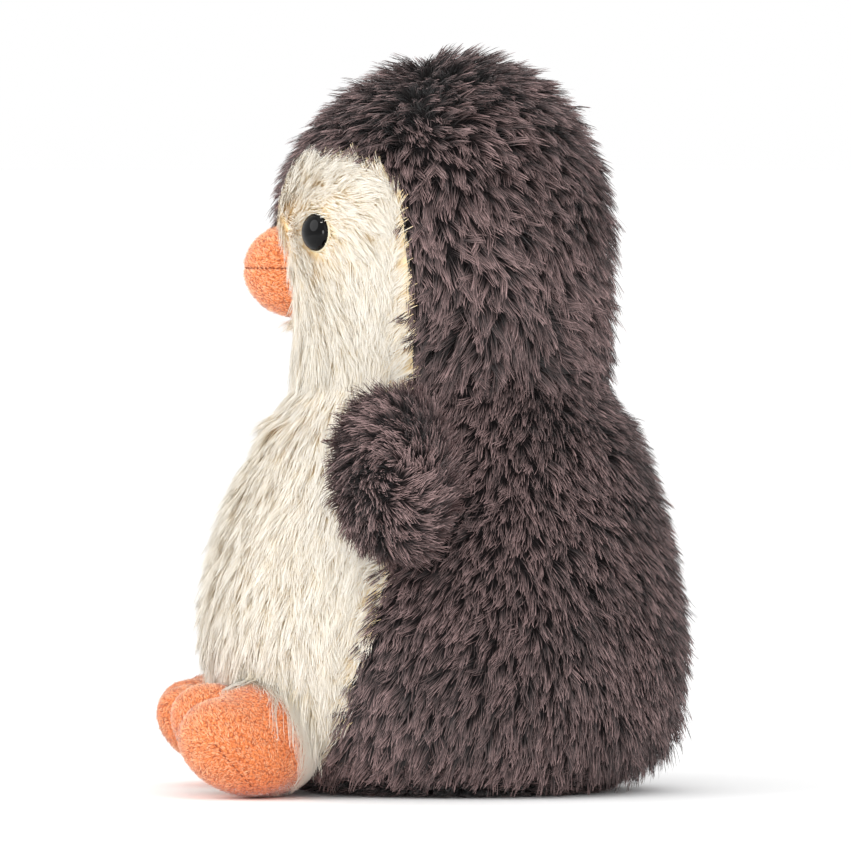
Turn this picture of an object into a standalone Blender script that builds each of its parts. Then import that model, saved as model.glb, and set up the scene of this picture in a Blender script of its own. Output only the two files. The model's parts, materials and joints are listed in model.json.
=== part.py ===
"""A seated plush penguin: pile-fabric panels, stuffing, weighted seat, locking eyes.

The penguin faces -Y, its left side is +X, and it sits on z = 0. All numbers below are millimetres.
Every panel is the fabric with its laid pile, so its outer face is the mean surface of the pile.
"""

import math

import bmesh
import bpy
from mathutils import Matrix, Vector

MM = 0.001

# Panels and fits
PILE_PANEL = 8.0        # long-pile fabric, backing to laid tips
SHORT_PANEL = 3.0       # short-pile fabric of the beak
SEAM_GAP = 0.3          # between pieces that touch
HALF_GAP = SEAM_GAP / 2
FILLING_GAP = 0.5       # between the filling and the panels round it
FACETS = 24             # points round the torso and the head
DOME_FACETS = 32
LOBE_FACETS = 16        # points round a toe, a wing, a stem and the stuffing inside them
STEM_FACETS = 8

# Cutters that have to pass right through the toy
SPAN = 130.0            # to every side
UNDER = -20.0
CEILING = 260.0
SAME_LEVEL = 0.01       # rings nearer than this are one ring

# Torso: rings of (height, front, back, half width)
TORSO_RINGS = (
    (0, -36, 56, 44),
    (3, -43, 62, 49),
    (9, -51, 69, 53),
    (20, -58.5, 77, 59),
    (35, -64.5, 81, 62),
    (50, -67, 81.5, 62.5),
    (72, -64.5, 78, 60),
    (91, -58, 73.5, 55),
    (109, -50, 67, 49.5),
    (120, -44.5, 61.5, 46.5),
    (130, -40, 57.5, 45),
    (180, -39, 57, 45),
)
BASE_SEAM = 8.0                                            # height of the seam round the base panel
BELLY_SEAM = ((0, -33), (10, -30), (35, -22.3), (53, -16), (68, -11.5), (97, -8), (170, -1))
SEAM_FOOT = -5.0                                           # where its outline ends, below the floor

# Neck: the head rides on a dome, whose centre both neck joints pass through
NECK_CENTRE = Vector((0, 9, 101))
DOME_RADIUS = 54.0
DOME_GAP = 0.6
SHOULDER = 117.5                                           # below it the torso is wider than the dome
NECK_PLUG_RADIUS = 20.0
NECK_PLUG_DEPTH = 30.0
NECK_PLUG_RISE = 9.0                                       # past the dome, before it is trimmed to it

# Head
HEAD_RINGS = (
    (112, -38, 56, 44),
    (130, -39, 57, 45.5),
    (142, -39.5, 57.5, 48.5),
    (153, -41, 57.8, 50.5),
    (166, -43.5, 58, 51.5),
    (178, -45.5, 57.5, 51.5),
    (190, -43.5, 55, 49.5),
    (200, -38.5, 51, 45.5),
    (210, -29.5, 45.5, 38.5),
    (218, -18.5, 38, 30),
    (224, -6, 29, 18),
    (227, 4, 19, 7),
)
HEAD_FLOOR = 121.0
FACE_FOOT = 105.0                                          # where the outlines of the face end, in the neck
FACE_SIDE = (
    (-3, FACE_FOOT), (-3, 130), (-5, 165), (-7, 187), (-13, 195.5), (-25, 199.5), (-42, 199), (-90, 199))
FACE_PEAK = (
    (0, FACE_FOOT), (0, 177), (5, 182), (9, 190), (14, 197), (22, 203), (90, 203), (90, FACE_FOOT))
FACE_BACK = 20.0                                           # behind the whole face panel

# Beak
BEAK_CENTRE = Vector((0, -39, 162))
BEAK_SIZE = Vector((14, 16.4, 15))
BEAK_SEAM = 162.5
BEAK_BACK = -37.7

# Eyes: where they sit on the pile, and which way they look
EYE_HEIGHT = 174.0
EYE_DEPTH = -32.9
EYE_RADIUS = 5.3
EYE_DOME = 4.2
EYE_RIM = 1.2
EYE_SINK = 2.6
EYE_RINGS = 5
EYE_CLEARANCE = 0.4
EYE_WELL = 15.0                                            # how far out the cutters for an eye reach
STEM_RADIUS = 1.6
STEM_LENGTH = 11.0
WASHER_RADIUS = 6.5
WASHER_THICKNESS = 1.6
WASHER_CLEARANCE = 0.5

# Wings: each turns on the side seam it is sewn into
WING_SIZE = Vector((23, 15, 26))
WING_REACH = 13.0                                          # wing's centre, out from the hinge
WING_HEIGHT = 97.0
WING_DEPTH = -9.6
WING_STAND_OFF = 6.5                                       # hinge, out from the pile of the torso
WING_PANEL = 7.0
WING_SEAM_REACH = 20.0                                     # up and down the seam, for the wing's lean
WING_GROOVE_RADIUS = 12.6
WING_GROOVE_HEIGHT = 29.0

# Feet: (centre, size) of each toe from the inner one out, then of the heel
TOES = (
    (Vector((22, -64, 21)), Vector((11, 18, 14.5))),
    (Vector((35, -60, 20)), Vector((11.5, 18, 15.5))),
    (Vector((48, -56, 17.5)), Vector((14, 19, 17.5))),
)
HEEL = (Vector((36, -52, 15)), Vector((22, 16, 15)))
FOOT_FILLING = (Vector((36, -60, 18)), Vector((18, 10, 10)))
FOOT_SEAM = 15.0
FOOT_HINGE = Vector((36, -53, 35.5))
FOOT_SPLAY = math.radians(20)
FOOT_CLEARANCE = 0.4

# Bead pouch in the seat
POUCH_RADIUS = 32.0
POUCH_HEIGHT = 27.0
POUCH_BACK = 12.0                                          # its centre, back from the middle
POUCH_FABRIC = 1.2
POUCH_MOUTH = 5.0
POUCH_MOUTH_DEPTH = 9.0
POUCH_RINGS = 7
POUCH_CROWN = math.radians(84)                             # where its dome goes over to a flat top

# Materials: (colour, roughness)
MATERIALS = {
    "charcoal_pile": ("#5A5054", 0.9),
    "cream_pile": ("#F3EEDF", 0.9),
    "orange_pile": ("#F59A5C", 0.9),
    "eye": ("#0B0B0D", 0.08),
    "washer": ("#F1EFEA", 0.45),
    "stuffing": ("#F1EFEA", 0.95),
    "pouch": ("#E3DCCB", 0.9),
    "beads": ("#D9D6CE", 0.5),
}


def linear(hex_colour):
    """sRGB hex to linear RGBA."""
    channels = [int(hex_colour[i : i + 2], 16) / 255 for i in (1, 3, 5)]
    return [c / 12.92 if c <= 0.04045 else ((c + 0.055) / 1.055) ** 2.4 for c in channels] + [1.0]


def material(name, hex_colour, roughness):
    mat = bpy.data.materials.new(name)
    mat.use_nodes = True
    shader = mat.node_tree.nodes["Principled BSDF"]
    shader.inputs["Base Color"].default_value = linear(hex_colour)
    shader.inputs["Roughness"].default_value = roughness
    shader.inputs["Metallic"].default_value = 0.0
    return mat


def new_object(name, bm, collection):
    """An object in metres from a bmesh in millimetres, its faces pointing out."""
    bmesh.ops.recalc_face_normals(bm, faces=bm.faces)
    bmesh.ops.scale(bm, vec=Vector((MM, MM, MM)), verts=bm.verts)
    mesh = bpy.data.meshes.new(name)
    bm.to_mesh(mesh)
    bm.free()
    obj = bpy.data.objects.new(name, mesh)
    collection.objects.link(obj)
    return obj


def cutter(name, bm):
    obj = new_object(name, bm, bpy.data.collections["cutters"])
    obj.hide_render = True
    obj.display_type = "WIRE"
    return obj


def piece(name, bm, mat):
    obj = new_object(name, bm, bpy.data.collections["plush_penguin"])
    obj.data.materials.append(mat)
    obj.data.shade_smooth()
    return obj


def cut(obj, operation, *tools):
    """Adds one Boolean for each tool, in order."""
    for tool in tools:
        modifier = obj.modifiers.new(f"{operation.lower()}_{tool.name}", "BOOLEAN")
        modifier.operation = operation
        modifier.object = tool
        modifier.solver = "EXACT"
    return obj


def loft(rings):
    """A closed skin through rings of equal point counts, capped at both ends."""
    bm = bmesh.new()
    rows = [[bm.verts.new(point) for point in ring] for ring in rings]
    for low, high in zip(rows, rows[1:]):
        for i in range(len(low)):
            j = (i + 1) % len(low)
            bm.faces.new((low[i], low[j], high[j], high[i]))
    bm.faces.new(reversed(rows[0]))
    bm.faces.new(rows[-1])
    return bm


def eased(rings):
    """The given rings, with one Catmull-Rom ring between each two."""
    levels = []
    for i in range(len(rings) - 1):
        before, start = rings[max(i - 1, 0)], rings[i]
        end, after = rings[i + 1], rings[min(i + 2, len(rings) - 1)]
        middle = [(9 * (p + q) - o - r) / 16 for o, p, q, r in zip(before, start, end, after)]
        levels += [start, middle]
    return levels + [rings[-1]]


def as_given(rings):
    return rings


def stuffed_form(rings, inset=0.0, levels=eased):
    """The form through rings of (height, front, back, half width), all its walls set in by inset."""
    floor, top = rings[0][0] + inset, rings[-1][0] - inset
    sections = []
    for height, front, back, half_width in levels(rings):
        centre = (front + back) / 2
        deep, wide = (back - front) / 2 - inset, half_width - inset
        if deep <= 0 or wide <= 0:
            continue
        level = min(max(height, floor), top)
        if sections and abs(level - sections[-1][0].z) < SAME_LEVEL:
            continue
        turns = [2 * math.pi * i / FACETS for i in range(FACETS)]
        sections.append([Vector((wide * math.cos(t), centre + deep * math.sin(t), level)) for t in turns])
    return loft(sections)


def prism(outline, axis, start, end):
    """An outline pushed along X (its points are y, z) or along Y (its points are x, z)."""
    place = {"X": lambda a, b, along: (along, a, b), "Y": lambda a, b, along: (a, along, b)}[axis]
    return loft([[Vector(place(a, b, along)) for a, b in outline] for along in (start, end)])


def block(low, high):
    bm = bmesh.new()
    low, high = Vector(low), Vector(high)
    bmesh.ops.create_cube(bm, size=1.0)
    size = high - low
    bmesh.ops.scale(bm, vec=size, verts=bm.verts)
    bmesh.ops.translate(bm, vec=(low + high) / 2, verts=bm.verts)
    return bm


def ellipsoid(centre, size, turn=None, around=LOBE_FACETS):
    bm = bmesh.new()
    bmesh.ops.create_uvsphere(bm, u_segments=around, v_segments=around // 2, radius=1.0)
    bmesh.ops.scale(bm, vec=size, verts=bm.verts)
    if turn:
        bmesh.ops.transform(bm, matrix=turn.to_4x4(), verts=bm.verts)
    bmesh.ops.translate(bm, vec=centre, verts=bm.verts)
    return bm


def rod(radius, start, end, around=LOBE_FACETS):
    """A cylinder between two points."""
    bm = bmesh.new()
    start, end = Vector(start), Vector(end)
    length = (end - start).length
    bmesh.ops.create_cone(bm, cap_ends=True, segments=around, radius1=radius, radius2=radius, depth=length)
    aim = Vector((0, 0, 1)).rotation_difference(end - start).to_matrix().to_4x4()
    bmesh.ops.transform(bm, matrix=Matrix.Translation((start + end) / 2) @ aim, verts=bm.verts)
    return bm


def joint_empty(name, place, turn=None):
    empty = bpy.data.objects.new(name, None)
    bpy.data.collections["plush_penguin"].objects.link(empty)
    empty.location = Vector(place) * MM
    if turn:
        empty.rotation_euler = turn.to_euler()
    empty.empty_display_size = 0.02
    return empty


def hang_on(empty, *objects):
    """Parents pieces to a joint's empty without moving them."""
    bpy.context.view_layer.update()
    for obj in objects:
        obj.parent = empty
        obj.matrix_parent_inverse = empty.matrix_world.inverted()


def mirrored(obj, name):
    """The same piece for the penguin's other side, from the finished mesh."""
    graph = bpy.context.evaluated_depsgraph_get()
    graph.update()
    mesh = bpy.data.meshes.new_from_object(obj.evaluated_get(graph))
    mesh.name = name
    mesh.transform(Matrix.Scale(-1, 4, Vector((1, 0, 0))) @ obj.matrix_world)
    mesh.flip_normals()
    twin = bpy.data.objects.new(name, mesh)
    bpy.data.collections["plush_penguin"].objects.link(twin)
    return twin


def surface_point(rings, height, depth):
    """Where a form's left side is at a height and depth, and its level outward normal there."""
    for low, high in zip(rings, rings[1:]):
        if low[0] <= height <= high[0]:
            share = (height - low[0]) / (high[0] - low[0])
            front, back, wide = (a + (b - a) * share for a, b in zip(low[1:], high[1:]))
            break
    centre, deep = (front + back) / 2, (back - front) / 2
    offset = (depth - centre) / deep
    x = wide * math.sqrt(1 - offset**2)
    normal = Vector((x / wide**2, (depth - centre) / deep**2, 0)).normalized()
    return Vector((x, depth, height)), normal


def start_scene():
    for obj in list(bpy.data.objects):
        bpy.data.objects.remove(obj)
    for name in ("plush_penguin", "cutters"):
        collection = bpy.data.collections.new(name)
        bpy.context.scene.collection.children.link(collection)


def wing_frame():
    """The left wing's hinge point, and its turn: local X points out along the wing, Z up the seam."""
    foot, _ = surface_point(TORSO_RINGS, WING_HEIGHT - WING_SEAM_REACH, WING_DEPTH)
    top, _ = surface_point(TORSO_RINGS, WING_HEIGHT + WING_SEAM_REACH, WING_DEPTH)
    middle, _ = surface_point(TORSO_RINGS, WING_HEIGHT, WING_DEPTH)
    lean = math.atan2(foot.x - top.x, top.z - foot.z)
    turn = Matrix.Rotation(-lean, 3, "Y")
    out = turn @ Vector((1, 0, 0))
    return middle + out * WING_STAND_OFF, turn


def make_torso(mats):
    """Belly, two back panels, base, stuffing, pouch and beads."""
    core = cutter("torso_core", stuffed_form(TORSO_RINGS, PILE_PANEL, as_given))
    dome = cutter("dome", ellipsoid(NECK_CENTRE, Vector((DOME_RADIUS,) * 3), around=DOME_FACETS))
    above = cutter("above_shoulder", block((-SPAN, -SPAN, SHOULDER), (SPAN, SPAN, CEILING)))
    cut(above, "DIFFERENCE", dome)

    hinge, turn = wing_frame()
    groove_size = Vector((WING_GROOVE_RADIUS, WING_GROOVE_RADIUS, WING_GROOVE_HEIGHT))
    groove = cutter("wing_groove", ellipsoid(hinge, groove_size, turn))
    groove_right = cutter("wing_groove_right", ellipsoid(
        Vector((-hinge.x, hinge.y, hinge.z)), groove_size, turn.inverted()))

    seam = [(y, z) for z, y in BELLY_SEAM]
    front = [(-SPAN, SEAM_FOOT), (seam[0][0], SEAM_FOOT)] + seam[1:] + [(-SPAN, seam[-1][1])]
    front_region = cutter("belly_region", prism([(y - HALF_GAP, z) for y, z in front], "X", -SPAN, SPAN))
    behind = cutter("belly_clearance", prism([(y + HALF_GAP, z) for y, z in front], "X", -SPAN, SPAN))
    over_base = cutter("over_base", block((-SPAN, -SPAN, BASE_SEAM + HALF_GAP), (SPAN, SPAN, CEILING)))
    under = cutter("under_seam", block((-SPAN, -SPAN, UNDER), (SPAN, SPAN, BASE_SEAM - HALF_GAP)))
    cutter("left_side", block((HALF_GAP, -SPAN, UNDER), (SPAN, SPAN, CEILING)))

    belly = piece("belly_panel", stuffed_form(TORSO_RINGS), mats["cream_pile"])
    cut(belly, "INTERSECT", front_region, over_base)
    cut(belly, "DIFFERENCE", core, above, groove, groove_right)

    back = piece("back_panel_left", stuffed_form(TORSO_RINGS), mats["charcoal_pile"])
    cut(back, "INTERSECT", bpy.data.objects["left_side"], over_base)
    cut(back, "DIFFERENCE", behind, core, above, groove)
    mirrored(back, "back_panel_right")

    base = piece("base_panel", stuffed_form(TORSO_RINGS), mats["charcoal_pile"])
    cut(base, "INTERSECT", under)
    cut(base, "DIFFERENCE", core)

    plug_foot = NECK_CENTRE - Vector((0, 0, NECK_PLUG_DEPTH))
    plug_top = NECK_CENTRE + Vector((0, 0, DOME_RADIUS + NECK_PLUG_RISE))
    well_foot = plug_foot - Vector((0, 0, 1))
    well = cutter("neck_well", rod(NECK_PLUG_RADIUS + 2 * SEAM_GAP, well_foot, plug_top))
    floor = PILE_PANEL + SEAM_GAP
    pocket = cutter("pouch_pocket", pouch_form(floor, SEAM_GAP, drop=1.0))
    stuffing = piece("torso_stuffing", stuffed_form(
        TORSO_RINGS, PILE_PANEL + FILLING_GAP, as_given), mats["stuffing"])
    cut(stuffing, "DIFFERENCE", above, well, pocket)

    plug_form = rod(NECK_PLUG_RADIUS, plug_foot, plug_top, around=FACETS)
    plug = piece("neck_stuffing", plug_form, mats["stuffing"])
    cut(plug, "INTERSECT", dome)
    hang_on(joint_empty("neck_joint", NECK_CENTRE), plug)

    make_pouch(mats, floor)


def pouch_form(floor, grow, drop=0.0):
    """A flat-bottomed dome standing on a height; drop lowers only its floor."""
    rings = []
    turns = [2 * math.pi * i / LOBE_FACETS for i in range(LOBE_FACETS)]
    for row in range(POUCH_RINGS):
        rise = POUCH_CROWN * row / (POUCH_RINGS - 1)
        radius = (POUCH_RADIUS + grow) * math.cos(rise)
        height = floor + (POUCH_HEIGHT + grow) * math.sin(rise) - (0 if row else drop)
        centre = Vector((0, POUCH_BACK, height))
        rings.append([centre + radius * Vector((math.cos(t), math.sin(t), 0)) for t in turns])
    return loft(rings)


def make_pouch(mats, floor):
    """A flat pouch with a mouth at its top, and the beads in it."""
    inside = floor + POUCH_FABRIC
    slack = -2 * POUCH_FABRIC
    top = floor + POUCH_HEIGHT
    hollow = cutter("pouch_hollow", pouch_form(inside, slack))
    mouth = cutter("pouch_mouth", rod(
        POUCH_MOUTH, (0, POUCH_BACK, top - POUCH_MOUTH_DEPTH), (0, POUCH_BACK, top + POUCH_MOUTH_DEPTH)))
    pouch = piece("bead_pouch", pouch_form(floor, -SEAM_GAP), mats["pouch"])
    cut(pouch, "DIFFERENCE", hollow, mouth)
    piece("bead_filling", pouch_form(inside + SEAM_GAP, slack - 2 * SEAM_GAP), mats["beads"])


def make_head(mats):
    """Hood, face, beak, eyes, washers and stuffing, all on the head's joint."""
    core = cutter("head_core", stuffed_form(HEAD_RINGS, PILE_PANEL, as_given))
    cup = cutter("neck_cup", ellipsoid(
        NECK_CENTRE, Vector((DOME_RADIUS + DOME_GAP,) * 3), around=DOME_FACETS))
    low = cutter("under_head", block((-SPAN, -SPAN, UNDER), (SPAN, SPAN, HEAD_FLOOR)))
    left = bpy.data.objects["left_side"]

    side, peak = list(FACE_SIDE) + [(FACE_SIDE[-1][0], FACE_FOOT)], list(FACE_PEAK)
    face = cutter("face_region", prism(side, "X", HALF_GAP, SPAN))
    cut(face, "INTERSECT", cutter("face_peak", prism(
        [(x + HALF_GAP, z) for x, z in peak], "Y", -SPAN, FACE_BACK)))
    grown_side = [(y + SEAM_GAP, z + SEAM_GAP if z > FACE_FOOT else z) for y, z in side]
    grown = cutter("face_clearance", prism(grown_side, "X", -1, SPAN))
    cut(grown, "INTERSECT", cutter("face_peak_clearance", prism(
        [(x - HALF_GAP, z + SEAM_GAP if z > FACE_FOOT else z) for x, z in peak], "Y", -SPAN, FACE_BACK)))

    place, normal = surface_point(HEAD_RINGS, EYE_HEIGHT, EYE_DEPTH)
    seat = place - normal * EYE_SINK
    outward = place + normal * EYE_WELL
    eye_pocket = cutter("eye_pocket", rod(
        EYE_RADIUS + EYE_CLEARANCE, seat - normal * (EYE_RIM + EYE_CLEARANCE), outward))
    stem_hole = cutter("stem_hole", rod(
        STEM_RADIUS + EYE_CLEARANCE, place - normal * 2 * STEM_LENGTH, outward, around=STEM_FACETS))
    beak_pocket = cutter("beak_pocket", ellipsoid(BEAK_CENTRE, BEAK_SIZE + Vector((SEAM_GAP,) * 3)))

    washer_out = place - normal * (PILE_PANEL + SEAM_GAP)
    washer_in = washer_out - normal * WASHER_THICKNESS
    room_radius, room_foot = WASHER_RADIUS + WASHER_CLEARANCE, washer_in - normal * WASHER_CLEARANCE
    washer_seat = cutter("washer_seat", rod(room_radius, room_foot, washer_out + normal * SEAM_GAP))

    face_left = piece("face_panel_left", stuffed_form(HEAD_RINGS), mats["cream_pile"])
    cut(face_left, "INTERSECT", face)
    cut(face_left, "DIFFERENCE", core, cup, low, beak_pocket, eye_pocket, stem_hole, washer_seat)
    hood_left = piece("hood_panel_left", stuffed_form(HEAD_RINGS), mats["charcoal_pile"])
    cut(hood_left, "INTERSECT", left)
    cut(hood_left, "DIFFERENCE", grown, core, cup, low, beak_pocket)

    washer = piece("eye_washer_left", rod(WASHER_RADIUS, washer_in, washer_out), mats["washer"])
    cut(washer, "DIFFERENCE", stem_hole)
    washer_pocket = cutter("washer_pocket", rod(room_radius, room_foot, outward))
    mirror = Matrix.Scale(-1, 4, Vector((1, 0, 0)))
    twins = []
    for tool in (washer_pocket, stem_hole):
        mesh = tool.data.copy()
        mesh.transform(mirror)
        mesh.flip_normals()
        twin = bpy.data.objects.new(tool.name + "_right", mesh)
        bpy.data.collections["cutters"].objects.link(twin)
        twin.hide_render = True
        twin.display_type = "WIRE"
        twins.append(twin)
    stuffing = piece("head_stuffing", stuffed_form(
        HEAD_RINGS, PILE_PANEL + FILLING_GAP, as_given), mats["stuffing"])
    cut(stuffing, "DIFFERENCE", cup, low, washer_pocket, stem_hole, *twins)

    eye = make_eye(mats, seat, normal)
    lefts = {"hood_panel": hood_left, "face_panel": face_left, "eye_washer": washer, "eye": eye}
    pairs = [o for name, obj in lefts.items() for o in (obj, mirrored(obj, f"{name}_right"))]
    beak = make_beak(mats)
    head_joint = joint_empty("head_joint", NECK_CENTRE)
    hang_on(head_joint, stuffing, *pairs, *beak)


def make_eye(mats, seat, normal):
    """A turned dome with a rim and a stem, its flat back on the seat."""
    rise = [math.pi / 2 * (1 - i / EYE_RINGS) for i in range(EYE_RINGS + 1)]
    profile = [(EYE_RADIUS * math.cos(a), EYE_DOME * math.sin(a)) for a in rise]
    profile += [(EYE_RADIUS, -EYE_RIM), (STEM_RADIUS, -EYE_RIM)]
    profile += [(STEM_RADIUS, -STEM_LENGTH), (0, -STEM_LENGTH)]
    bm = bmesh.new()
    verts = [bm.verts.new((r, 0, h)) for r, h in profile]
    for a, b in zip(verts, verts[1:]):
        bm.edges.new((a, b))
    eye = piece("eye_left", bm, mats["eye"])
    screw = eye.modifiers.new("turned", "SCREW")
    screw.steps = screw.render_steps = LOBE_FACETS
    screw.use_merge_vertices = True
    screw.merge_threshold = 0.00001
    eye.location = seat * MM
    eye.rotation_euler = Vector((0, 0, 1)).rotation_difference(normal).to_euler()
    return eye


def make_beak(mats):
    """Two short-pile panels with a seam between them, and their stuffing."""
    inner = BEAK_SIZE - Vector((SHORT_PANEL,) * 3)
    hollow = cutter("beak_hollow", ellipsoid(BEAK_CENTRE, inner))
    made = []
    spans = {"beak_upper": (BEAK_SEAM + HALF_GAP, CEILING), "beak_lower": (UNDER, BEAK_SEAM - HALF_GAP)}
    for name, (low, high) in spans.items():
        region = cutter(name + "_region", block((-SPAN, -SPAN, low), (SPAN, BEAK_BACK, high)))
        panel = piece(name, ellipsoid(BEAK_CENTRE, BEAK_SIZE), mats["orange_pile"])
        cut(panel, "INTERSECT", region)
        cut(panel, "DIFFERENCE", hollow)
        made.append(panel)
    stuffing = piece("beak_stuffing", ellipsoid(
        BEAK_CENTRE, inner - Vector((SEAM_GAP,) * 3)), mats["stuffing"])
    front = cutter("beak_front", block((-SPAN, -SPAN, UNDER), (SPAN, BEAK_BACK, CEILING)))
    cut(stuffing, "INTERSECT", front)
    return made + [stuffing]


def bake(obj):
    """The finished mesh of a piece in place of its modifiers."""
    graph = bpy.context.evaluated_depsgraph_get()
    graph.update()
    mesh = bpy.data.meshes.new_from_object(obj.evaluated_get(graph))
    obj.modifiers.clear()
    obj.data = mesh


def make_wings(mats):
    """Two panels and stuffing for each wing, made round the hinge and then placed on it."""
    hinge, turn = wing_frame()
    centre = Vector((WING_REACH, 0, 0))
    inner = WING_SIZE - Vector((WING_PANEL,) * 3)
    made = []
    hollow = cutter("wing_hollow", ellipsoid(centre, inner))
    halves = {"wing_front": (-SPAN, -HALF_GAP), "wing_rear": (HALF_GAP, SPAN)}
    for name, (low, high) in halves.items():
        region = cutter(name + "_region", block((-SPAN, low, -SPAN), (SPAN, high, SPAN)))
        panel = piece(name + "_left", ellipsoid(centre, WING_SIZE), mats["charcoal_pile"])
        cut(panel, "INTERSECT", region)
        cut(panel, "DIFFERENCE", hollow)
        made.append(panel)
    made.append(piece("wing_stuffing_left", ellipsoid(
        centre, inner - Vector((SEAM_GAP,) * 3)), mats["stuffing"]))
    empty = joint_empty("wing_joint_left", hinge, turn)
    for obj in made:
        bake(obj)
        obj.parent = empty
    bpy.context.view_layer.update()
    twins = [mirrored(obj, obj.name.replace("_left", "_right")) for obj in made]
    hang_on(joint_empty("wing_joint_right", Vector((-hinge.x, hinge.y, hinge.z))), *twins)


def make_feet(mats):
    """Toes and heel joined, cut to the torso, and split into a toe side and a sole."""
    torso_room = cutter("torso_room", stuffed_form(TORSO_RINGS, -FOOT_CLEARANCE))
    lobes = [cutter(f"foot_lobe_{i}", ellipsoid(*facts)) for i, facts in enumerate(TOES[1:] + (HEEL,))]
    hollow = cutter("foot_hollow", ellipsoid(*FOOT_FILLING))
    spans = {"foot_upper": (FOOT_SEAM + HALF_GAP, CEILING), "foot_sole": (UNDER, FOOT_SEAM - HALF_GAP)}
    made = []
    for name, (low, high) in spans.items():
        region = cutter(name + "_region", block((-SPAN, -SPAN, low), (SPAN, SPAN, high)))
        panel = piece(name + "_left", ellipsoid(*TOES[0]), mats["orange_pile"])
        cut(panel, "UNION", *lobes)
        cut(panel, "INTERSECT", region)
        cut(panel, "DIFFERENCE", torso_room, hollow)
        made.append(panel)
    centre, size = FOOT_FILLING
    made.append(piece("foot_stuffing_left", ellipsoid(
        centre, size - Vector((SEAM_GAP,) * 3)), mats["stuffing"]))
    twins = [mirrored(obj, obj.name.replace("_left", "_right")) for obj in made]
    other = Vector((-FOOT_HINGE.x, FOOT_HINGE.y, FOOT_HINGE.z))
    hang_on(joint_empty("foot_joint_left", FOOT_HINGE, Matrix.Rotation(FOOT_SPLAY, 3, "Z")), *made)
    hang_on(joint_empty("foot_joint_right", other, Matrix.Rotation(-FOOT_SPLAY, 3, "Z")), *twins)


def main():
    start_scene()
    mats = {name: material(name, *facts) for name, facts in MATERIALS.items()}
    make_torso(mats)
    make_head(mats)
    make_wings(mats)
    make_feet(mats)


main()
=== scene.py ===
import json
import math
from dataclasses import dataclass

import bmesh
import bpy
import numpy as np
from mathutils import Matrix, Vector
from mathutils.bvhtree import BVHTree


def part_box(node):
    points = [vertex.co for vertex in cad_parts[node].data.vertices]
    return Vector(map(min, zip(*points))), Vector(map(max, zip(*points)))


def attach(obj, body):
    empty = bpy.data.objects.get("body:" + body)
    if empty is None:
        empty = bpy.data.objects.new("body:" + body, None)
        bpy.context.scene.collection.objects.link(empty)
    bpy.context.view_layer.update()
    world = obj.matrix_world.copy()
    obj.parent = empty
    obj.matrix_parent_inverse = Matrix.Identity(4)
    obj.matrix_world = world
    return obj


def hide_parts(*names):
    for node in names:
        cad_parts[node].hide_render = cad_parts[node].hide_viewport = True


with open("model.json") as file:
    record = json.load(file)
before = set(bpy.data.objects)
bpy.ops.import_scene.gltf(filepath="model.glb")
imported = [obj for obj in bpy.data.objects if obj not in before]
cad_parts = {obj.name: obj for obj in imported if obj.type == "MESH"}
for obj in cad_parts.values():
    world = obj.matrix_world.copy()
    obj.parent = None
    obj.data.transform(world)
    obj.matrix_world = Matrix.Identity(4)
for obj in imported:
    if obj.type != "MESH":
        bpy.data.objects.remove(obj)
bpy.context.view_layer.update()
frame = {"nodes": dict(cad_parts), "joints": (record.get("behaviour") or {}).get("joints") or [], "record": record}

MM = 0.001
SEED = 41
SIDES = (("left", 1), ("right", -1))

FIBRE_UV = "OFBake"     # across: the tuft's tone, up: from the fibre's root to its tip
MAX_STRANDS = 24000     # in one piece
SOWN = 2.4              # places tried for each tuft there is room for
RESTING = 0.4 * MM      # fibres under the seat lie this far up, on what the toy sits on
CORE_GAP = 1.3 * MM     # between the stuffing and the cloth over it

# Where the pile parts, thins and changes colour
PARTING = -1 * MM                               # across the crown: pile lies forward before it, back behind it
DART = Vector((0, 21, 165)) * MM                # the sewn dart behind the cheek, and the height it stops at
WORN = Vector((0, -12.7, 64.5)) * MM            # under the wing, where the pile has been rubbed short
WORN_SIZE = Vector((1, 3, 5)) * MM              # only its depth and height count
BASE_SEAM = 13 * MM                             # the charcoal of the seat comes this far up the front
EYE_FRONT = 2.2 * MM                            # how far before each eye the middle of its bare spot is
EYE_BARE = 6.4 * MM                             # the bare spot's radius

# Belly fibres that lie on the feet
DRAPE_DEPTH = 9.0 * MM
DRAPE_ROOT = 4.5 * MM                           # a fibre rooted deeper in a foot than this stays hidden
DRAPE_BELOW, DRAPE_AHEAD = 60 * MM, -20 * MM    # where the belly is near enough to the feet to look

# Feet
TOES = (                # centre and size in millimetres, and how many degrees the toe turns up; the heel last
    ((20, -66.3, 20.8), (10.5, 17, 11.5), 28),
    ((33, -61.5, 21), (11.5, 17, 12.5), 30),
    ((47, -56, 16), (14.5, 19.5, 14.5), 20),
    ((38, -50.5, 17.5), (21, 19, 17.5), 8),
)
TUCK = 2.5 * MM                                 # how far a foot sits in the pile of the belly
SEAM_TOP = Vector((0, -63.2, 17.0)) * MM        # the hand-closed seam on the outer toe
SEAM_FOOT = Vector((0, -52.7, 4.6)) * MM
SEAM_STITCHES = 9
OUTSIDE = 90 * MM                               # clear of the toy, to look in at it from

# Beak: stitches to each side of the middle one, and degrees from one to the next
BEAK_STITCHES, BEAK_STITCH_TURN = 16, 5.5

# Wings
WING_BACK, WING_DOWN = 3.2 * MM, 6.3 * MM       # how far the tip hangs back and down
WING_FULLER, WING_LOWER = 0.1, 0.07             # the pile makes the wing rounder, seen end on, than its cloth

# Eyes
EYE_RADIUS, EYE_RISE = 5.9 * MM, 3.7 * MM       # of the dome
EYE_STAND = 1.6 * MM                            # how far the dome stands past the CAD eye
EYE_STEPS = 56                                  # points round the dome
DOME_STEPS, DOME_STEP = 20, 4.5                 # rings over it, and degrees from one to the next
LIP = 1.07                                      # the lip's radius, to the dome's

# ---------------------------------------------------------------- places that come from the frame


def box_middle(node):
    low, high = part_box(node)
    return (low + high) / 2


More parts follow.
